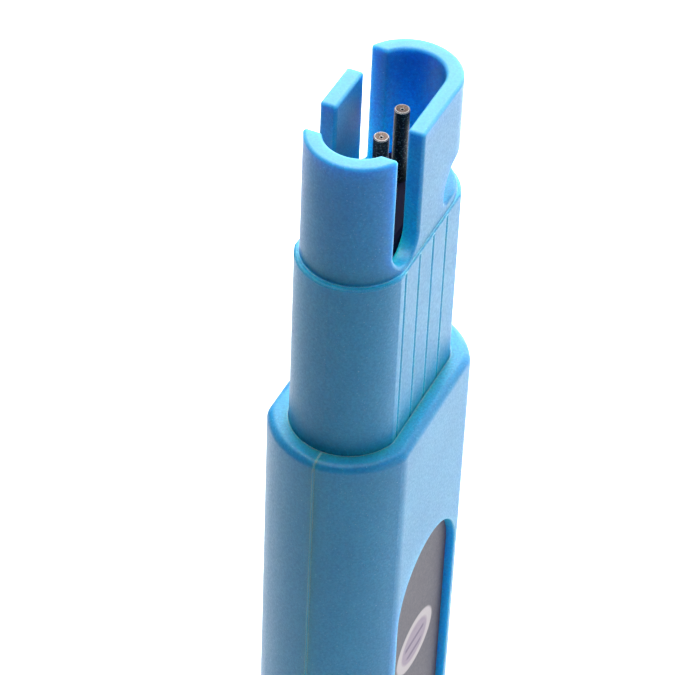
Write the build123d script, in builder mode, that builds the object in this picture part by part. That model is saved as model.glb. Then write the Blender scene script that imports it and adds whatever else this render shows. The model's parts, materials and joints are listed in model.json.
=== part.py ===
from build123d import *

import os

# Punch down tool: a slotted nose sleeve slides over two fixed push pins, inside a two-shell body.
# Millimetres. +Z runs up the tool from the tail to the nose. X runs along the long axis of the
# cross-section and Y across it. The origin is the centre of the tail's flat end.

os.makedirs("parts", exist_ok=True)

# Whole tool
TOOL_LENGTH = 150.0
TRAVEL = 7.0
RUN_GAP = 0.06
SEAT_GAP = 0.03

# Slotted nose: an obround tube, open at the top
NOSE_WIDTH = 9.86
NOSE_LENGTH = 19.44
NOSE_WALL = 1.61
NOSE_HEIGHT = 12.95
NOSE_ROUND = 0.32
FRONT_SLOT_X = -4.68
FRONT_SLOT_WIDTH = 4.04
BACK_SLOT_PLACES = (-4.40, 4.88)
BACK_SLOT_WIDTH = 3.60
SLOT_DEPTH = 12.56
WINDOW_TOP = 8.00
WINDOW_BOTTOM = 11.90
WINDOW_LEFT_X = 2.85
WINDOW_BIG_ROUND = 2.70
WINDOW_SMALL_ROUND = 0.80

# Grooved sleeve below the nose: two flats joined by bowed ends
SLEEVE_WIDTH = 10.24
SLEEVE_LENGTH = 20.64
SLEEVE_CORNER_X = 6.40
SLEEVE_BOW = 1.09
SLEEVE_CORNER_ROUND = 0.60
SLEEVE_ROUND = 0.20
SLEEVE_BOTTOM = 111.0
GROOVE_PITCH = 2.95
GROOVE_COUNT = 4
GROOVE_FIRST_X = -5.42
GROOVE_WIDTH = 0.46
GROOVE_DEPTH = 0.23
GROOVE_START = 0.22

# Guide tube: the hidden lower end of the sleeve
GUIDE_WALL = 1.20
GUIDE_BOTTOM = 90.0

# Body shells: two flats joined by bowed ends
BODY_WIDTH = 13.90
BODY_LENGTH = 24.34
BODY_CORNER_X = 7.30
BODY_BOW = 1.24
BODY_CORNER_ROUND = 2.20
BODY_TOP = 117.6
BODY_ROUND = 0.75
SEAM_DEPTH = 0.07
HOLDER_CHAMFER = 0.25
BUFFER_SEAT = 102.8
BUFFER_THICKNESS = 1.0
CHAMBER_TOP = 81.4
CHAMBER_RADIUS = 4.60
SEAT_Z = 50.0
SEAT_RADIUS = 4.90
ROD_BORE_BOTTOM = 36.0
HOLLOW_LOW = 17.5
HOLLOW_HIGH = 32.5
HOLLOW_LENGTH = 9.6
HOLLOW_WIDTH = 9.0

# Label and its recess on the -Y flat
LABEL_TOP = 100.65
LABEL_LENGTH = 51.0
LABEL_WIDTH = 13.3
LABEL_RECESS = 1.16
LABEL_THICKNESS = 0.30
LABEL_GAP = 0.06
LABEL_LIP = 0.14

# Tail cap
CAP_HEIGHT = 14.0
CAP_WALL = 1.75
CAP_FLOOR = 3.0
CAP_ROUND = 1.6

# Shell screws, driven in from the +Y side
SCREW_X = 7.4
SCREW_LOW_Z = 26.0
SCREW_HIGH_Z = 70.0
SCREW_RADIUS = 1.10
SCREW_HEAD_RADIUS = 2.20
SCREW_HEAD_HEIGHT = 1.5
SCREW_HEAD_ROUND = 0.30
SCREW_SEAT_Y = 3.3
SCREW_TIP_Y = -4.4
DRIVE_WIDTH = 0.55
DRIVE_LENGTH = 2.6
DRIVE_DEPTH = 0.8

# Push pins and the block that holds them
PIN_RADIUS = 0.70
PIN_TIP_HOLE_RADIUS = 0.14
PIN_TIP_HOLE_DEPTH = 1.2
PIN_TIP_DISH_RADIUS = 0.54
PIN_TIP_DISH_DEPTH = 0.10
PIN_TIP_EDGE = 0.09
PIN_TOP = 146.5
INNER_PIN_X = -0.36
OUTER_PIN_X = 4.00
HOLDER_TOP = 138.8
HOLDER_BOTTOM = 116.0
TONGUE_TOP = 124.0
TONGUE_LENGTH = 10.0
TONGUE_WIDTH = 2.8
PLATE_THICKNESS = 1.5
CORE_GAP = 0.10
HOLDER_PIN_RADIUS = 1.0
HOLDER_PIN_Z = 120.0

# Core post with the travel slot, and the steel rod under it
POST_BOTTOM = 90.3
STOP_PIN_RADIUS = 1.25
STOP_PIN_Z = 106.0
ROD_RADIUS = 2.5
ROD_TOP = 97.0
ROD_BOTTOM = 38.0
ANCHOR_RADIUS = 1.5
ANCHOR_Z = 42.5
ANCHOR_LENGTH = 10.0

# Return spring and its washers
WASHER_THICKNESS = 1.0
SEAT_THICKNESS = 1.5
SPRING_MEAN_RADIUS = 3.60
SPRING_WIRE_RADIUS = 0.42
SPRING_TURNS = 9.5
CLIP_RADIUS = 3.9
CLIP_THICKNESS = 0.6
CLIP_GROOVE = 0.5
CLIP_Z = 48.9
CLIP_POCKET_RADIUS = 4.1
CLIP_POCKET_HEIGHT = 2.0
CLIP_MOUTH = 3.2

# Derived
nose_base = TOOL_LENGTH - NOSE_HEIGHT
slot_bottom = TOOL_LENGTH - SLOT_DEPTH
slot_radius = FRONT_SLOT_WIDTH / 2
window_top_z = TOOL_LENGTH - WINDOW_TOP
window_bottom_z = TOOL_LENGTH - WINDOW_BOTTOM
window_height = WINDOW_BOTTOM - WINDOW_TOP
bore_width = NOSE_WIDTH - 2 * NOSE_WALL
bore_length = NOSE_LENGTH - 2 * NOSE_WALL
guide_width = bore_width + 2 * GUIDE_WALL
guide_length = bore_length + 2 * GUIDE_WALL
core_width = bore_width - 2 * CORE_GAP
core_length = bore_length - 2 * CORE_GAP
recess_floor = -BODY_WIDTH / 2 + LABEL_RECESS
label_low_z = LABEL_TOP - LABEL_LENGTH
label_centre_z = (LABEL_TOP + label_low_z) / 2
plate_top = TONGUE_TOP + PLATE_THICKNESS
spring_bottom = SEAT_Z + SEAT_THICKNESS
spring_top = GUIDE_BOTTOM - WASHER_THICKNESS
cavity_length = guide_length + 2 * RUN_GAP
cavity_width = guide_width + 2 * RUN_GAP
stop_slot_height = TRAVEL + 2 * STOP_PIN_RADIUS + 4 * CORE_GAP
stop_slot_centre_z = STOP_PIN_Z - TRAVEL / 2
screw_places = [(x, z) for x in (-SCREW_X, SCREW_X) for z in (SCREW_LOW_Z, SCREW_HIGH_Z)]


def save(builder, name):
    """Labels a finished piece and writes its STEP file."""
    builder.part.label = name
    export_step(builder.part, f"parts/{name}.step")


def bowed_section(length, width, corner_x, bow, corner_round):
    """Section with two flats along X and a bowed arc from each corner to the tip at either end."""
    with BuildSketch() as section:
        with BuildLine():
            Line((0, width / 2), (corner_x, width / 2))
            SagittaArc((corner_x, width / 2), (length / 2, 0), bow)
            mirror(about=Plane.XZ)
            mirror(about=Plane.YZ)
        make_face()
        corners = section.vertices().filter_by(lambda corner: abs(corner.Y) > width / 4)
        fillet(corners, corner_round)
    return section.sketch


sleeve_section = bowed_section(SLEEVE_LENGTH, SLEEVE_WIDTH, SLEEVE_CORNER_X, SLEEVE_BOW, SLEEVE_CORNER_ROUND)
body_section = bowed_section(BODY_LENGTH, BODY_WIDTH, BODY_CORNER_X, BODY_BOW, BODY_CORNER_ROUND)

# Nose sleeve: slotted nose, grooved sleeve and guide tube in one moulding
with BuildPart() as nose_sleeve:
    with BuildSketch(Plane.XY.offset(SLEEVE_BOTTOM)):
        add(sleeve_section)
    extrude(amount=nose_base - SLEEVE_BOTTOM)
    fillet(nose_sleeve.edges().group_by(Axis.Z)[-1], SLEEVE_ROUND)
    with BuildSketch(Plane.XY.offset(nose_base)):
        SlotOverall(NOSE_LENGTH, NOSE_WIDTH)
    extrude(amount=NOSE_HEIGHT)
    with BuildSketch(Plane.XY.offset(GUIDE_BOTTOM)):
        SlotOverall(guide_length, guide_width)
    extrude(amount=SLEEVE_BOTTOM - GUIDE_BOTTOM)
    with BuildSketch(Plane.XY.offset(GUIDE_BOTTOM)):
        SlotOverall(bore_length, bore_width)
    extrude(amount=TOOL_LENGTH - GUIDE_BOTTOM, mode=Mode.SUBTRACT)
    # One slot in the -Y wall, with a half-round bottom
    with BuildSketch(Plane.XZ):
        with Locations((FRONT_SLOT_X, slot_bottom + slot_radius)):
            Circle(slot_radius)
            Rectangle(FRONT_SLOT_WIDTH, TOOL_LENGTH, align=(Align.CENTER, Align.MIN))
    extrude(amount=NOSE_WIDTH, mode=Mode.SUBTRACT)
    # Two slots in the +Y wall, with a post left between them
    with BuildSketch(Plane.XZ):
        with Locations(*[(slot_x, slot_bottom) for slot_x in BACK_SLOT_PLACES]):
            Rectangle(BACK_SLOT_WIDTH, TOOL_LENGTH, align=(Align.CENTER, Align.MIN))
    extrude(amount=-NOSE_WIDTH, mode=Mode.SUBTRACT)
    # Window low in the -Y wall, open round the end as far as the middle
    with BuildSketch(Plane.XZ) as window:
        with Locations((WINDOW_LEFT_X, window_bottom_z)):
            Rectangle(NOSE_LENGTH, window_height, align=(Align.MIN, Align.MIN))
        left_corners = window.vertices().group_by(Axis.X)[0].sort_by(Axis.Y)
        fillet(left_corners[-1], WINDOW_BIG_ROUND)
        left_corners = window.vertices().group_by(Axis.X)[0].sort_by(Axis.Y)
        fillet(left_corners[0], WINDOW_SMALL_ROUND)
    extrude(amount=NOSE_WIDTH, mode=Mode.SUBTRACT)
    # V-grooves down both flats of the sleeve
    face_y = SLEEVE_WIDTH / 2
    for index in range(GROOVE_COUNT):
        groove_x = GROOVE_FIRST_X + index * GROOVE_PITCH
        for side in (-1, 1):
            with BuildSketch(Plane.XY.offset(SLEEVE_BOTTOM)):
                with BuildLine():
                    Polyline(
                        (groove_x - GROOVE_WIDTH, side * (face_y + GROOVE_DEPTH)),
                        (groove_x + GROOVE_WIDTH, side * (face_y + GROOVE_DEPTH)),
                        (groove_x, side * (face_y - GROOVE_DEPTH)),
                        close=True,
                    )
                make_face()
            extrude(amount=nose_base - GROOVE_START - SLEEVE_BOTTOM, mode=Mode.SUBTRACT)
    # Cross hole for the travel stop pin
    with BuildSketch(Plane.XZ):
        with Locations((0, STOP_PIN_Z)):
            Circle(STOP_PIN_RADIUS + SEAT_GAP)
    extrude(amount=NOSE_WIDTH, both=True, mode=Mode.SUBTRACT)
    nose_edges = nose_sleeve.edges().filter_by_position(Axis.Z, slot_bottom - 0.01, TOOL_LENGTH + 0.01)
    fillet(nose_edges, NOSE_ROUND)
save(nose_sleeve, "nose_sleeve")

# Both body shells as one block, parted below
with BuildPart() as body_block:
    with BuildSketch(Plane.XY.offset(CAP_HEIGHT)):
        add(body_section)
    extrude(amount=BODY_TOP - CAP_HEIGHT)
    fillet(body_block.edges().group_by(Axis.Z)[-1], BODY_ROUND)
    with BuildSketch(Plane.XY.offset(CAP_FLOOR)):
        add(body_section)
        offset(amount=-CAP_WALL - SEAT_GAP)
    extrude(amount=CAP_HEIGHT - CAP_FLOOR)
    # Mouth that guides the sleeve
    with BuildSketch(Plane.XY.offset(BUFFER_SEAT)):
        add(sleeve_section)
        offset(amount=RUN_GAP)
    extrude(amount=BODY_TOP - BUFFER_SEAT, mode=Mode.SUBTRACT)
    # Cavity for the guide tube, then the spring chamber, spring seat, clip pocket and rod bore
    with BuildSketch(Plane.XY.offset(CHAMBER_TOP)):
        SlotOverall(cavity_length, cavity_width)
    extrude(amount=BUFFER_SEAT - CHAMBER_TOP, mode=Mode.SUBTRACT)
    with BuildSketch(Plane.XY.offset(SEAT_Z)):
        Circle(CHAMBER_RADIUS)
    extrude(amount=CHAMBER_TOP - SEAT_Z, mode=Mode.SUBTRACT)
    with BuildSketch(Plane.XY.offset(SEAT_Z)):
        Circle(SEAT_RADIUS + SEAT_GAP)
    extrude(amount=SEAT_THICKNESS + SEAT_GAP, mode=Mode.SUBTRACT)
    with BuildSketch(Plane.XY.offset(SEAT_Z - CLIP_POCKET_HEIGHT)):
        Circle(CLIP_POCKET_RADIUS)
    extrude(amount=CLIP_POCKET_HEIGHT, mode=Mode.SUBTRACT)
    with BuildSketch(Plane.XY.offset(ROD_BORE_BOTTOM)):
        Circle(ROD_RADIUS + SEAT_GAP)
    extrude(amount=SEAT_Z - ROD_BORE_BOTTOM, mode=Mode.SUBTRACT)
    # Weight-saving hollow between the lower screws
    with BuildSketch(Plane.XY.offset(HOLLOW_LOW)):
        SlotOverall(HOLLOW_LENGTH, HOLLOW_WIDTH)
    extrude(amount=HOLLOW_HIGH - HOLLOW_LOW, mode=Mode.SUBTRACT)
    # Cross bore of the anchor pin
    with BuildSketch(Plane.XZ):
        with Locations((0, ANCHOR_Z)):
            Circle(ANCHOR_RADIUS + SEAT_GAP)
    extrude(amount=ANCHOR_LENGTH / 2 + SEAT_GAP, both=True, mode=Mode.SUBTRACT)
    # Screw bores, with counterbores that open on the +Y side
    with BuildSketch(Plane.XZ.offset(-SCREW_SEAT_Y)):
        with Locations(*screw_places):
            Circle(SCREW_HEAD_RADIUS + CORE_GAP)
    extrude(amount=-BODY_WIDTH, mode=Mode.SUBTRACT)
    with BuildSketch(Plane.XZ.offset(-SCREW_SEAT_Y)):
        with Locations(*screw_places):
            Circle(SCREW_RADIUS + SEAT_GAP)
    extrude(amount=SCREW_SEAT_Y - SCREW_TIP_Y + CORE_GAP, mode=Mode.SUBTRACT)
    # Label recess in the -Y flat, with a softened lip
    with BuildSketch(Plane.XZ.offset(-recess_floor)):
        with Locations((0, label_centre_z)):
            SlotOverall(LABEL_LENGTH, LABEL_WIDTH, rotation=90)
    extrude(amount=BODY_WIDTH, mode=Mode.SUBTRACT)
    lip = body_block.edges().filter_by(
        lambda edge: edge.bounding_box().max.Y < recess_floor - LABEL_THICKNESS
        and label_low_z < edge.center().Z < LABEL_TOP
    )
    fillet(lip, LABEL_LIP)
    # Fine V along the parting line at both narrow ends
    for end in (-1, 1):
        with BuildSketch(Plane.XY.offset(CAP_HEIGHT)):
            with BuildLine():
                Polyline(
                    (end * (BODY_LENGTH / 2 + SEAM_DEPTH), -2 * SEAM_DEPTH),
                    (end * (BODY_LENGTH / 2 + SEAM_DEPTH), 2 * SEAM_DEPTH),
                    (end * (BODY_LENGTH / 2 - SEAM_DEPTH), 0),
                    close=True,
                )
            make_face()
        extrude(amount=BODY_TOP - BODY_ROUND - CAP_HEIGHT, mode=Mode.SUBTRACT)

with BuildPart() as body_shell_right:
    add(body_block.part)
    split(bisect_by=Plane.XZ, keep=Keep.TOP)
save(body_shell_right, "body_shell_right")

with BuildPart() as body_shell_left:
    add(body_block.part)
    split(bisect_by=Plane.XZ, keep=Keep.BOTTOM)
save(body_shell_left, "body_shell_left")

# Label plate, glued on the floor of the recess
with BuildPart() as label_plate:
    with BuildSketch(Plane.XZ.offset(-recess_floor)):
        with Locations((0, label_centre_z)):
            SlotOverall(LABEL_LENGTH - 2 * LABEL_GAP, LABEL_WIDTH - 2 * LABEL_GAP, rotation=90)
    extrude(amount=LABEL_THICKNESS)
save(label_plate, "label_plate")

# Tail cap: a cup over the necks of both shells
with BuildPart() as tail_cap:
    with BuildSketch():
        add(body_section)
    extrude(amount=CAP_HEIGHT - SEAT_GAP)
    fillet(tail_cap.edges().group_by(Axis.Z)[0], CAP_ROUND)
    chamfer(tail_cap.edges().group_by(Axis.Z)[-1], SEAM_DEPTH)
    with BuildSketch(Plane.XY.offset(CAP_FLOOR)):
        add(body_section)
        offset(amount=-CAP_WALL)
    extrude(amount=CAP_HEIGHT - CAP_FLOOR, mode=Mode.SUBTRACT)
save(tail_cap, "tail_cap")

# Shell screws with cross-recessed pan heads
with BuildPart() as shell_screws:
    with BuildSketch(Plane.XZ.offset(-SCREW_SEAT_Y)):
        with Locations(*screw_places):
            Circle(SCREW_HEAD_RADIUS)
    extrude(amount=-SCREW_HEAD_HEIGHT)
    fillet(shell_screws.edges().group_by(Axis.Y)[-1], SCREW_HEAD_ROUND)
    with BuildSketch(Plane.XZ.offset(-SCREW_SEAT_Y)):
        with Locations(*screw_places):
            Circle(SCREW_RADIUS)
    extrude(amount=SCREW_SEAT_Y - SCREW_TIP_Y)
    with BuildSketch(Plane.XZ.offset(-SCREW_SEAT_Y - SCREW_HEAD_HEIGHT)):
        with Locations(*screw_places):
            Rectangle(DRIVE_WIDTH, DRIVE_LENGTH)
            Rectangle(DRIVE_LENGTH, DRIVE_WIDTH)
    extrude(amount=DRIVE_DEPTH, mode=Mode.SUBTRACT)
save(shell_screws, "shell_screws")

# Two push pins with dished tips and a fine centre hole
for pin_name, pin_x in (("push_pin_inner", INNER_PIN_X), ("push_pin_outer", OUTER_PIN_X)):
    with BuildPart() as push_pin:
        with BuildSketch(Plane.XY.offset(plate_top)):
            with Locations((pin_x, 0)):
                Circle(PIN_RADIUS)
        extrude(amount=PIN_TOP - plate_top)
        chamfer(push_pin.edges().group_by(Axis.Z)[-1], PIN_TIP_EDGE)
        with BuildSketch(Plane.XY.offset(PIN_TOP - PIN_TIP_HOLE_DEPTH)):
            with Locations((pin_x, 0)):
                Circle(PIN_TIP_HOLE_RADIUS)
        extrude(amount=PIN_TIP_HOLE_DEPTH, mode=Mode.SUBTRACT)
        with Locations((pin_x, 0, PIN_TOP - PIN_TIP_DISH_DEPTH / 2)):
            Cone(PIN_TIP_HOLE_RADIUS, PIN_TIP_DISH_RADIUS, PIN_TIP_DISH_DEPTH, mode=Mode.SUBTRACT)
    save(push_pin, pin_name)

# Pin holder: a block inside the sleeve, with a pocket for the tongue of the core post
with BuildPart() as pin_holder:
    with BuildSketch(Plane.XY.offset(HOLDER_BOTTOM)):
        SlotOverall(core_length, core_width)
    extrude(amount=HOLDER_TOP - HOLDER_BOTTOM)
    chamfer(pin_holder.edges().group_by(Axis.Z)[-1], HOLDER_CHAMFER)
    with BuildSketch(Plane.XY.offset(HOLDER_BOTTOM)):
        Rectangle(TONGUE_LENGTH + 2 * SEAT_GAP, TONGUE_WIDTH + 2 * SEAT_GAP)
    extrude(amount=plate_top - HOLDER_BOTTOM, mode=Mode.SUBTRACT)
    with BuildSketch(Plane.XY.offset(plate_top)):
        with Locations((INNER_PIN_X, 0), (OUTER_PIN_X, 0)):
            Circle(PIN_RADIUS + SEAT_GAP)
    extrude(amount=HOLDER_TOP - plate_top, mode=Mode.SUBTRACT)
    with BuildSketch(Plane.XZ):
        with Locations((0, HOLDER_PIN_Z)):
            Circle(HOLDER_PIN_RADIUS + SEAT_GAP)
    extrude(amount=core_width, both=True, mode=Mode.SUBTRACT)
save(pin_holder, "pin_holder")

# Hard plate that takes the thrust of the pins
with BuildPart() as pin_backing_plate:
    with BuildSketch(Plane.XY.offset(TONGUE_TOP)):
        Rectangle(TONGUE_LENGTH, TONGUE_WIDTH)
    extrude(amount=PLATE_THICKNESS)
save(pin_backing_plate, "pin_backing_plate")

# Cross pin between holder and post
with BuildPart() as holder_cross_pin:
    with BuildSketch(Plane.XZ):
        with Locations((0, HOLDER_PIN_Z)):
            Circle(HOLDER_PIN_RADIUS)
    extrude(amount=core_width / 2 - CORE_GAP, both=True)
save(holder_cross_pin, "holder_cross_pin")

# Core post: tongue on top, travel slot through the middle, rod socket below
with BuildPart() as core_post:
    with BuildSketch(Plane.XY.offset(POST_BOTTOM)):
        SlotOverall(core_length, core_width)
    extrude(amount=HOLDER_BOTTOM - POST_BOTTOM)
    with BuildSketch(Plane.XY.offset(HOLDER_BOTTOM)):
        Rectangle(TONGUE_LENGTH, TONGUE_WIDTH)
    extrude(amount=TONGUE_TOP - HOLDER_BOTTOM)
    with BuildSketch(Plane.XZ):
        with Locations((0, HOLDER_PIN_Z)):
            Circle(HOLDER_PIN_RADIUS + SEAT_GAP)
        with Locations((0, stop_slot_centre_z)):
            SlotOverall(stop_slot_height, 2 * STOP_PIN_RADIUS + 2 * CORE_GAP, rotation=90)
    extrude(amount=core_width, both=True, mode=Mode.SUBTRACT)
    with BuildSketch(Plane.XY.offset(POST_BOTTOM)):
        Circle(ROD_RADIUS + SEAT_GAP)
    extrude(amount=ROD_TOP - POST_BOTTOM, mode=Mode.SUBTRACT)
save(core_post, "core_post")

# Travel stop pin, pressed through the guide tube and the slot of the core post
with BuildPart() as travel_stop_pin:
    with BuildSketch(Plane.XZ):
        with Locations((0, STOP_PIN_Z)):
            Circle(STOP_PIN_RADIUS)
    extrude(amount=guide_width / 2 - CORE_GAP, both=True)
save(travel_stop_pin, "travel_stop_pin")

# Guide rod with a cross hole for the anchor pin and a groove for the clip
with BuildPart() as guide_rod:
    with BuildSketch(Plane.XY.offset(ROD_BOTTOM)):
        Circle(ROD_RADIUS)
    extrude(amount=ROD_TOP - ROD_BOTTOM)
    with BuildSketch(Plane.XY.offset(CLIP_Z)):
        Circle(ROD_RADIUS)
        Circle(ROD_RADIUS - CLIP_GROOVE, mode=Mode.SUBTRACT)
    extrude(amount=CLIP_THICKNESS, mode=Mode.SUBTRACT)
    with BuildSketch(Plane.XZ):
        with Locations((0, ANCHOR_Z)):
            Circle(ANCHOR_RADIUS + SEAT_GAP)
    extrude(amount=2 * ROD_RADIUS, both=True, mode=Mode.SUBTRACT)
save(guide_rod, "guide_rod")

# Anchor pin that ties the rod to both shells
with BuildPart() as anchor_pin:
    with BuildSketch(Plane.XZ):
        with Locations((0, ANCHOR_Z)):
            Circle(ANCHOR_RADIUS)
    extrude(amount=ANCHOR_LENGTH / 2, both=True)
save(anchor_pin, "anchor_pin")

# Retaining clip in the groove of the rod
with BuildPart() as rod_clip:
    with BuildSketch(Plane.XY.offset(CLIP_Z + SEAT_GAP)):
        Circle(CLIP_RADIUS)
        Circle(ROD_RADIUS - CLIP_GROOVE + SEAT_GAP, mode=Mode.SUBTRACT)
        Rectangle(CLIP_RADIUS + CORE_GAP, CLIP_MOUTH, align=(Align.MIN, Align.CENTER), mode=Mode.SUBTRACT)
    extrude(amount=CLIP_THICKNESS - 2 * SEAT_GAP)
save(rod_clip, "rod_clip")

# Spring seat, thrust washer and travel buffer
with BuildPart() as spring_seat:
    with BuildSketch(Plane.XY.offset(SEAT_Z)):
        Circle(SEAT_RADIUS)
        Circle(ROD_RADIUS + SEAT_GAP, mode=Mode.SUBTRACT)
    extrude(amount=SEAT_THICKNESS)
save(spring_seat, "spring_seat")

with BuildPart() as thrust_washer:
    with BuildSketch(Plane.XY.offset(spring_top)):
        SlotOverall(guide_length - 2 * CORE_GAP, guide_width - 2 * CORE_GAP)
        Circle(ROD_RADIUS + CORE_GAP, mode=Mode.SUBTRACT)
    extrude(amount=WASHER_THICKNESS)
save(thrust_washer, "thrust_washer")

with BuildPart() as travel_buffer:
    with BuildSketch(Plane.XY.offset(BUFFER_SEAT)):
        add(sleeve_section)
        SlotOverall(guide_length + 4 * CORE_GAP, guide_width + 4 * CORE_GAP, mode=Mode.SUBTRACT)
    extrude(amount=BUFFER_THICKNESS)
save(travel_buffer, "travel_buffer")

# Return spring: a round-wire helix between seat and thrust washer
with BuildPart() as return_spring:
    coil_height = spring_top - spring_bottom - 2 * SPRING_WIRE_RADIUS - 2 * CORE_GAP
    coil_start = spring_bottom + SPRING_WIRE_RADIUS + CORE_GAP
    with BuildLine() as coil:
        Helix(coil_height / SPRING_TURNS, coil_height, SPRING_MEAN_RADIUS, center=(0, 0, coil_start))
    with BuildSketch(Plane(coil.line @ 0, z_dir=coil.line % 0)):
        Circle(SPRING_WIRE_RADIUS)
    sweep(path=coil.line, is_frenet=True)
save(return_spring, "return_spring")
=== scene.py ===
"""Looks for the punch down tool: camera, studio, procedural materials and printed label.

Places are in the CAD frame: +Z runs from the tail to the nose and -Y is the label side. Lengths are
in metres, except inside the materials, which count in millimetres.
"""
import json
import math

import bpy
from mathutils import Matrix, Vector


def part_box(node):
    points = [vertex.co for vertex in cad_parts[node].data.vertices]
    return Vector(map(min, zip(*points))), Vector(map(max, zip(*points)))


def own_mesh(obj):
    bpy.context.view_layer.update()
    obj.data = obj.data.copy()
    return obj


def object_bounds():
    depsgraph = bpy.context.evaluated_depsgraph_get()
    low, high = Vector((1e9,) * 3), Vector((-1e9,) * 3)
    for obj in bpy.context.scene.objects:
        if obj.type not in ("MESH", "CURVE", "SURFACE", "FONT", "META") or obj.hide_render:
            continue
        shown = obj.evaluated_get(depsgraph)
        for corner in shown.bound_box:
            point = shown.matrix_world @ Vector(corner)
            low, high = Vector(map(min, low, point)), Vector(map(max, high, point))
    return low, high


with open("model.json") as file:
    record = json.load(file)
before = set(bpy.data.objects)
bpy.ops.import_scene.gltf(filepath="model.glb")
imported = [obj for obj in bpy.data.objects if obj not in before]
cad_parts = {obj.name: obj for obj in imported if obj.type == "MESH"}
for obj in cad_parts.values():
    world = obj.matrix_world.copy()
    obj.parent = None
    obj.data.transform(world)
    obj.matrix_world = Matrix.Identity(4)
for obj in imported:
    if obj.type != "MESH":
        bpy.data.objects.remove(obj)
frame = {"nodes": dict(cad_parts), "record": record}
cad_low, cad_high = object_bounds()

MM = 0.001
MASK_SAMPLES = 6  # rays per shading point of the edge and hollow masks

# Printed mark of the label, in millimetres. Its centre lies RING_DROP below the top of the label.
RING_DROP = 14.9
RING_HALF_WIDTH = 4.3
RING_HALF_HEIGHT = 3.2
BAR_PITCH = 1.5

# Base colours, linear RGB.
BLUE_BASE = (0.020, 0.262, 0.490)
BLUE_DEEP = (0.016, 0.232, 0.450)
BLUE_SHADE = (0.002, 0.120, 0.280)
BLUE_PALE = (0.280, 0.650, 0.800)
BLUE_SEAM_HIGHLIGHT = (0.022, 0.400, 0.860)
BLUE_PAINTED_GLOW = (0.000, 0.720, 0.980)
BLACK_DEEP = (0.001, 0.001, 0.008)
BLACK_PALE = (0.003, 0.003, 0.020)
OXIDE_DEEP = (0.004, 0.006, 0.008)
OXIDE_PALE = (0.022, 0.028, 0.032)
OXIDE_FLECK = (0.24, 0.28, 0.29)
TIP_DEEP = (0.020, 0.013, 0.010)
TIP_PALE = (0.20, 0.13, 0.10)
BARE_STEEL = (0.85, 0.86, 0.84)
PLATED = (0.60, 0.61, 0.63)
SPRING_WIRE = (0.42, 0.43, 0.45)
RUBBER_DEEP = (0.012, 0.012, 0.012)
RUBBER_PALE = (0.03, 0.03, 0.03)
LABEL_DEEP = (0.047, 0.042, 0.064)
LABEL_PALE = (0.062, 0.056, 0.081)
LABEL_SPECK = (0.040, 0.036, 0.053)
RING_PALE = (0.46, 0.42, 0.44)
RING_FILL = (0.17, 0.12, 0.20)
BAR_DARK = (0.07, 0.045, 0.12)
FLOOR_PALE = (0.93, 0.93, 0.93)

# Heights of the tops of four pieces, in millimetres, for the masks in the materials.
shell_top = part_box("body_shell_right")[1].z / MM
nose_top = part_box("nose_sleeve")[1].z / MM
label_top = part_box("label_plate")[1].z / MM
pin_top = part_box("push_pin_outer")[1].z / MM


# ---------------------------------------------------------------- node helpers
def new_material(name):
    """A material with only an output and a Principled shader, and the tree and shader to work on."""
    material = bpy.data.materials.new(name)
    material.use_nodes = True
    tree = material.node_tree
    tree.nodes.clear()
    output = tree.nodes.new("ShaderNodeOutputMaterial")
    shader = tree.nodes.new("ShaderNodeBsdfPrincipled")
    tree.links.new(shader.outputs["BSDF"], output.inputs["Surface"])
    return material, tree, shader


def millimetres(tree, stretch=(1.0, 1.0, 1.0)):
    """Object coordinates in millimetres, optionally stretched along an axis."""
    coords = tree.nodes.new("ShaderNodeTexCoord")
    mapping = tree.nodes.new("ShaderNodeMapping")
    mapping.inputs["Scale"].default_value = [factor / MM for factor in stretch]
    tree.links.new(coords.outputs["Object"], mapping.inputs["Vector"])
    return mapping.outputs["Vector"]


def noise(tree, vector, scale, detail=3.0, roughness=0.55):
    node = tree.nodes.new("ShaderNodeTexNoise")
    node.inputs["Scale"].default_value = scale
    node.inputs["Detail"].default_value = detail
    node.inputs["Roughness"].default_value = roughness
    tree.links.new(vector, node.inputs["Vector"])
    return node.outputs["Fac"]


def math_node(tree, operation, first, second=None, clamp=False):
    node = tree.nodes.new("ShaderNodeMath")
    node.operation = operation
    node.use_clamp = clamp
    for socket, value in zip(node.inputs, (first, second)):
        if value is None:
            continue
        if isinstance(value, (int, float)):
            socket.default_value = value
        else:
            tree.links.new(value, socket)
    return node.outputs["Value"]


def remap(tree, value, low, high, to_low=0.0, to_high=1.0):
    node = tree.nodes.new("ShaderNodeMapRange")
    limits = (("From Min", low), ("From Max", high), ("To Min", to_low), ("To Max", to_high))
    for name, number in limits:
        node.inputs[name].default_value = number
    tree.links.new(value, node.inputs["Value"])
    return node.outputs["Result"]


def mix_colour(tree, factor, first, second):
    node = tree.nodes.new("ShaderNodeMix")
    node.data_type = "RGBA"
    for socket, value in ((node.inputs[0], factor), (node.inputs[6], first), (node.inputs[7], second)):
        if isinstance(value, (int, float)):
            socket.default_value = value
        elif isinstance(value, tuple):
            socket.default_value = (*value, 1.0)
        else:
            tree.links.new(value, socket)
    return node.outputs[2]


def bump(tree, shader, height, distance, strength):
    node = tree.nodes.new("ShaderNodeBump")
    node.inputs["Strength"].default_value = strength
    node.inputs["Distance"].default_value = distance
    tree.links.new(height, node.inputs["Height"])
    tree.links.new(node.outputs["Normal"], shader.inputs["Normal"])


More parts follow.
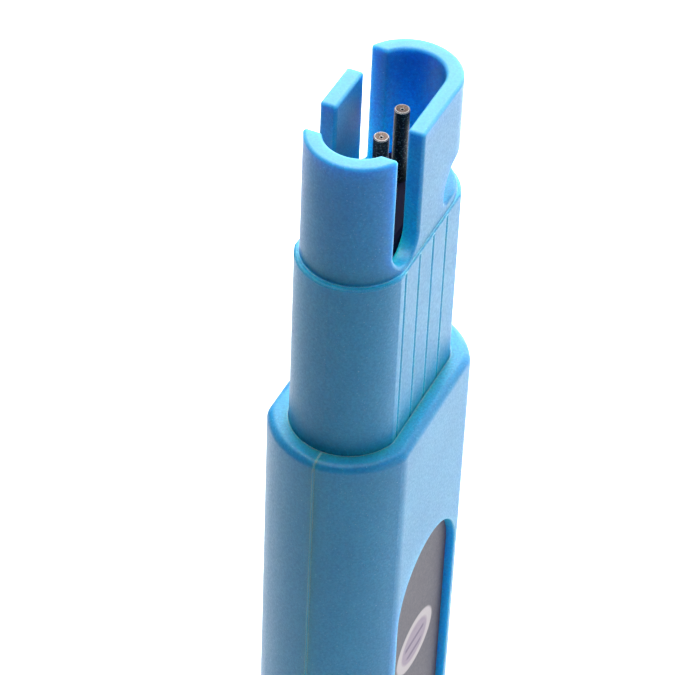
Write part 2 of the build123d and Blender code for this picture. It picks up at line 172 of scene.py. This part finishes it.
def edge_mask(tree, radius, low, high):
    """White along convex and concave edges, from how far a bevelled normal leaves the true one."""
    bevel = tree.nodes.new("ShaderNodeBevel")
    bevel.samples = MASK_SAMPLES
    bevel.inputs["Radius"].default_value = radius
    geometry = tree.nodes.new("ShaderNodeNewGeometry")
    dot = tree.nodes.new("ShaderNodeVectorMath")
    dot.operation = "DOT_PRODUCT"
    tree.links.new(bevel.outputs["Normal"], dot.inputs[0])
    tree.links.new(geometry.outputs["Normal"], dot.inputs[1])
    return remap(tree, dot.outputs["Value"], 1.0 - low, 1.0 - high)


def occlusion(tree, distance, low, high):
    """White in hollows and tight corners, where less of the open air is seen within the distance."""
    node = tree.nodes.new("ShaderNodeAmbientOcclusion")
    node.samples = MASK_SAMPLES
    node.inputs["Distance"].default_value = distance
    return remap(tree, node.outputs["AO"], low, high)


# ---------------------------------------------------------------- materials
def blue_plastic():
    """Light blue moulded plastic, slightly translucent, with a spark-eroded grain, paler edges that are
    partly wear and partly painted highlight, a parting line painted as a highlight, a top face painted
    paler as painted light, and a painted glow in its hollows.
    """
    material, tree, shader = new_material("blue_plastic")
    place = millimetres(tree)
    grain = noise(tree, place, scale=4.2, detail=4.0, roughness=0.7)
    speck = remap(tree, noise(tree, place, scale=7.0, detail=1.0), low=0.70, high=0.76)
    blotch = noise(tree, place, scale=0.16, detail=3.0)
    # Edges are painted paler, partly real wear and partly a painted highlight where rims and edges catch
    # the light.
    pale_edges = edge_mask(tree, radius=0.30 * MM, low=0.01, high=0.14)
    split = tree.nodes.new("ShaderNodeSeparateXYZ")
    tree.links.new(place, split.inputs[0])
    height = split.outputs["Z"]
    # The parting line of the shells, at Y = 0, is painted as a thin light line, a painted highlight
    # standing in for light caught on its ridge; it fades out towards the rim of the body.
    off_seam = math_node(tree, "ABSOLUTE", split.outputs["Y"])
    on_shell = remap(tree, height, low=shell_top - 0.2, high=shell_top - 1.2)
    seam_highlight = math_node(tree, "MULTIPLY", remap(tree, off_seam, low=0.10, high=0.03), on_shell)
    # Painted glow: hollows and tight corners are painted a brighter, more saturated blue, standing in for
    # light that bounces inside the translucent plastic; most inside the nose.
    in_nose = remap(tree, height, low=nose_top - 12.6, high=nose_top - 11.0, to_low=0.60, to_high=1.0)
    painted_glow_mask = occlusion(tree, distance=6.0 * MM, low=0.74, high=0.40)
    painted_glow = math_node(tree, "MULTIPLY", painted_glow_mask, in_nose)
    # The top face of the nose is painted a little paler, as painted light falling from above.
    painted_top_light = remap(tree, height, low=nose_top - 0.35, high=nose_top - 0.05, to_low=0.0, to_high=0.14)
    open_base = mix_colour(tree, remap(tree, blotch, low=0.3, high=0.7), BLUE_DEEP, BLUE_BASE)
    base = mix_colour(tree, painted_glow, open_base, BLUE_PAINTED_GLOW)
    shade = remap(tree, grain, low=0.38, high=0.62, to_low=0.0, to_high=0.42)
    grained = mix_colour(tree, shade, base, BLUE_SHADE)
    flecked = mix_colour(tree, math_node(tree, "MULTIPLY", speck, 0.30), grained, BLUE_PALE)
    # Paler paint on the edges (wear and painted highlight) and on the top face (painted light from above).
    wear_and_painted_highlight = math_node(tree, "ADD", math_node(tree, "MULTIPLY", pale_edges, 0.75), painted_top_light, clamp=True)
    worn_and_highlit = mix_colour(tree, wear_and_painted_highlight, flecked, BLUE_PALE)
    seam_highlighted = mix_colour(tree, math_node(tree, "MULTIPLY", seam_highlight, 0.90), worn_and_highlit, BLUE_SEAM_HIGHLIGHT)
    tree.links.new(seam_highlighted, shader.inputs["Base Color"])
    gloss = remap(tree, grain, low=0.3, high=0.7, to_low=0.36, to_high=0.50)
    tree.links.new(gloss, shader.inputs["Roughness"])
    shader.inputs["IOR"].default_value = 1.45
    shader.inputs["Specular IOR Level"].default_value = 0.36
    shader.inputs["Subsurface Weight"].default_value = 0.85
    shader.inputs["Subsurface Radius"].default_value = (0.10, 0.55, 1.0)
    shader.inputs["Subsurface Scale"].default_value = 4.0 * MM
    bump(tree, shader, grain, distance=0.022 * MM, strength=0.6)
    return material


def dark_plastic():
    """Matt blue-black moulded plastic."""
    material, tree, shader = new_material("black_plastic")
    place = millimetres(tree)
    grain = noise(tree, place, scale=6.0, detail=3.0)
    tone = mix_colour(tree, remap(tree, grain, low=0.3, high=0.7), BLACK_DEEP, BLACK_PALE)
    tree.links.new(tone, shader.inputs["Base Color"])
    gloss = remap(tree, grain, low=0.3, high=0.7, to_low=0.6, to_high=0.8)
    tree.links.new(gloss, shader.inputs["Roughness"])
    shader.inputs["Specular IOR Level"].default_value = 0.1
    bump(tree, shader, grain, distance=0.01 * MM, strength=0.4)
    return material


def oxide_steel():
    """Black-oxide steel of the push pins: pitted, with bare flecks, a brown dished tip and a bare rim."""
    material, tree, shader = new_material("black_steel")
    place = millimetres(tree)
    pits = noise(tree, place, scale=5.0, detail=5.0, roughness=0.75)
    fleck = remap(tree, noise(tree, place, scale=6.5, detail=2.0), low=0.56, high=0.66)
    pale_edges = edge_mask(tree, radius=0.10 * MM, low=0.004, high=0.05)
    split = tree.nodes.new("ShaderNodeSeparateXYZ")
    tree.links.new(place, split.inputs[0])
    tip = remap(tree, split.outputs["Z"], low=pin_top - 0.16, high=pin_top - 0.06)
    coat = mix_colour(tree, remap(tree, pits, low=0.3, high=0.7), OXIDE_DEEP, OXIDE_PALE)
    flecked = mix_colour(tree, math_node(tree, "MULTIPLY", fleck, 0.50), coat, OXIDE_FLECK)
    face = mix_colour(tree, remap(tree, pits, low=0.35, high=0.65), TIP_DEEP, TIP_PALE)
    ended = mix_colour(tree, tip, flecked, face)
    bare = mix_colour(tree, math_node(tree, "MULTIPLY", pale_edges, tip), ended, BARE_STEEL)
    tree.links.new(bare, shader.inputs["Base Color"])
    shader.inputs["Metallic"].default_value = 0.55
    gloss = remap(tree, pits, low=0.3, high=0.7, to_low=0.38, to_high=0.62)
    tree.links.new(gloss, shader.inputs["Roughness"])
    bump(tree, shader, pits, distance=0.05 * MM, strength=0.8)
    return material


def plated_steel(name, tone, stretch):
    """Zinc-plated or drawn steel with fine turning or drawing marks."""
    material, tree, shader = new_material(name)
    marks = noise(tree, millimetres(tree, stretch), scale=6.0, detail=3.0)
    cloud = noise(tree, millimetres(tree), scale=0.8, detail=2.0)
    darker = tuple(channel * 0.72 for channel in tone)
    clouded = mix_colour(tree, remap(tree, cloud, low=0.35, high=0.65), darker, tone)
    tree.links.new(clouded, shader.inputs["Base Color"])
    shader.inputs["Metallic"].default_value = 1.0
    gloss = remap(tree, marks, low=0.3, high=0.7, to_low=0.22, to_high=0.42)
    tree.links.new(gloss, shader.inputs["Roughness"])
    bump(tree, shader, marks, distance=0.008 * MM, strength=0.5)
    return material


def rubber():
    """Dull black rubber."""
    material, tree, shader = new_material("buffer_rubber")
    grain = noise(tree, millimetres(tree), scale=4.0, detail=4.0)
    tree.links.new(mix_colour(tree, grain, RUBBER_DEEP, RUBBER_PALE), shader.inputs["Base Color"])
    gloss = remap(tree, grain, low=0.3, high=0.7, to_low=0.7, to_high=0.9)
    tree.links.new(gloss, shader.inputs["Roughness"])
    bump(tree, shader, grain, distance=0.02 * MM, strength=0.5)
    return material


def label_print():
    """Purple-grey label with a pale filled oval ring and two plain bars, and no lettering."""
    material, tree, shader = new_material("grey_label")
    place = millimetres(tree)
    split = tree.nodes.new("ShaderNodeSeparateXYZ")
    tree.links.new(place, split.inputs[0])
    up = math_node(tree, "SUBTRACT", split.outputs["Z"], label_top - RING_DROP)
    across = math_node(tree, "DIVIDE", split.outputs["X"], RING_HALF_WIDTH)
    along = math_node(tree, "DIVIDE", up, RING_HALF_HEIGHT)
    across_squared = math_node(tree, "MULTIPLY", across, across)
    along_squared = math_node(tree, "MULTIPLY", along, along)
    # The radius is 1 on the outer edge of the oval ring.
    radius = math_node(tree, "SQRT", math_node(tree, "ADD", across_squared, along_squared))
    inside = remap(tree, radius, low=1.0, high=0.93)
    core = remap(tree, radius, low=0.74, high=0.64)
    in_core = remap(tree, radius, low=0.56, high=0.48)
    wave = math_node(tree, "SINE", math_node(tree, "MULTIPLY", up, math.tau / BAR_PITCH))
    bars = math_node(tree, "MULTIPLY", remap(tree, wave, low=0.35, high=0.75), in_core)
    mottle = noise(tree, place, scale=1.3, detail=4.0)
    fine = noise(tree, place, scale=6.0, detail=3.0, roughness=0.7)
    mottled = mix_colour(tree, remap(tree, mottle, low=0.3, high=0.7), LABEL_DEEP, LABEL_PALE)
    speckle = remap(tree, fine, low=0.35, high=0.65, to_low=0.0, to_high=0.30)
    ground = mix_colour(tree, speckle, mottled, LABEL_SPECK)
    ringed = mix_colour(tree, math_node(tree, "MULTIPLY", inside, 0.80), ground, RING_PALE)
    filled = mix_colour(tree, math_node(tree, "MULTIPLY", core, 0.70), ringed, RING_FILL)
    printed = mix_colour(tree, math_node(tree, "MULTIPLY", bars, 0.75), filled, BAR_DARK)
    tree.links.new(printed, shader.inputs["Base Color"])
    gloss = remap(tree, fine, low=0.3, high=0.7, to_low=0.48, to_high=0.62)
    tree.links.new(gloss, shader.inputs["Roughness"])
    shader.inputs["Specular IOR Level"].default_value = 0.30
    bump(tree, shader, fine, distance=0.012 * MM, strength=0.5)
    return material


finishes = {
    "blue_plastic": blue_plastic(),
    "black_plastic": dark_plastic(),
    "black_steel": oxide_steel(),
    "bright_steel": plated_steel("bright_steel", PLATED, stretch=(1.0, 1.0, 6.0)),
    "spring_steel": plated_steel("spring_steel", SPRING_WIRE, stretch=(1.0, 1.0, 1.0)),
    "buffer_rubber": rubber(),
    "grey_label": label_print(),
}
for row in frame["record"]["subparts"]:
    part = frame["nodes"][row["node"]]
    part.data.materials.clear()
    part.data.materials.append(finishes[row["material_slot"]])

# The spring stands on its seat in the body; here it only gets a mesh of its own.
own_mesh(frame["nodes"]["return_spring"])


# ---------------------------------------------------------------- studio
def emitter(name, place, target, size_x, size_y, watts):
    """A white rectangular softbox at place, turned to target."""
    light = bpy.data.lights.new(name, "AREA")
    light.shape = "RECTANGLE"
    light.size = size_x
    light.size_y = size_y
    light.energy = watts
    holder = bpy.data.objects.new(name, light)
    holder.location = place
    holder.rotation_mode = "QUATERNION"
    holder.rotation_quaternion = (Vector(target) - Vector(place)).to_track_quat("-Z", "Y")
    bpy.context.collection.objects.link(holder)


def floor():
    """A plain pale floor, far larger than the view."""
    half = 4.0
    corners = [(-half, -half, 0), (half, -half, 0), (half, half, 0), (-half, half, 0)]
    mesh = bpy.data.meshes.new("studio_floor")
    mesh.from_pydata(corners, [], [(0, 1, 2, 3)])
    plane = bpy.data.objects.new("studio_floor", mesh)
    plane.location.z = cad_low.z
    bpy.context.collection.objects.link(plane)
    material, tree, shader = new_material("pale_floor")
    shader.inputs["Base Color"].default_value = (*FLOOR_PALE, 1.0)
    shader.inputs["Roughness"].default_value = 0.85
    mesh.materials.append(material)


def studio():
    """Soft light, brightest on the floor behind the tool, so that the near narrow end stays darker."""
    middle = (0.0, 0.0, cad_high.z * 0.7)
    top = (0.0, 0.0, cad_high.z)
    emitter("floor_softbox", (0.60, -0.05, 0.30), (0.60, -0.05, 0.0), size_x=0.60, size_y=0.80, watts=15.0)
    emitter("back_softbox", (0.78, 0.34, 0.92), middle, size_x=0.9, size_y=0.9, watts=12.0)
    emitter("top_lamp", (0.03, 0.03, 0.46), top, size_x=0.20, size_y=0.20, watts=1.6)
    emitter("right_softbox", (-0.06, -0.92, 0.36), middle, size_x=0.6, size_y=0.5, watts=2.5)
    emitter("left_softbox", (0.05, 0.95, 0.40), middle, size_x=0.5, size_y=0.5, watts=0.6)
    world = bpy.data.worlds.new("studio_air")
    world.use_nodes = True
    background = world.node_tree.nodes["Background"]
    background.inputs["Color"].default_value = (1.0, 1.0, 1.0, 1.0)
    background.inputs["Strength"].default_value = 0.02
    bpy.context.scene.world = world
    bpy.context.scene.view_settings.view_transform = "Standard"
    bpy.context.scene.view_settings.look = "None"


def camera():
    """Looks down on the near narrow end of the nose, with a long lens."""
    azimuth, elevation, roll = math.radians(-66.57), math.radians(41.86), math.radians(2.46)
    distance, shift_right, shift_up = 276.6 * MM, -3.17 * MM, -20.22 * MM
    flat = math.cos(elevation)
    back = Vector((math.sin(azimuth) * flat, -math.cos(azimuth) * flat, math.sin(elevation)))
    right = (-back).cross(Vector((0, 0, 1))).normalized()
    up = right.cross(-back)
    place = Vector((0, 0, cad_high.z)) + back * distance + right * shift_right + up * shift_up
    tilted_right = right * math.cos(roll) + up * math.sin(roll)
    tilted_up = up * math.cos(roll) - right * math.sin(roll)
    data = bpy.data.cameras.new("view_camera")
    data.sensor_width = 36.0
    data.lens = 173.42
    data.clip_start = 0.01
    data.clip_end = 20.0
    viewer = bpy.data.objects.new("view_camera", data)
    turn = Matrix((tilted_right, tilted_up, back)).transposed().to_4x4()
    viewer.matrix_world = Matrix.Translation(place) @ turn
    bpy.context.collection.objects.link(viewer)
    bpy.context.scene.camera = viewer


floor()
studio()
camera()
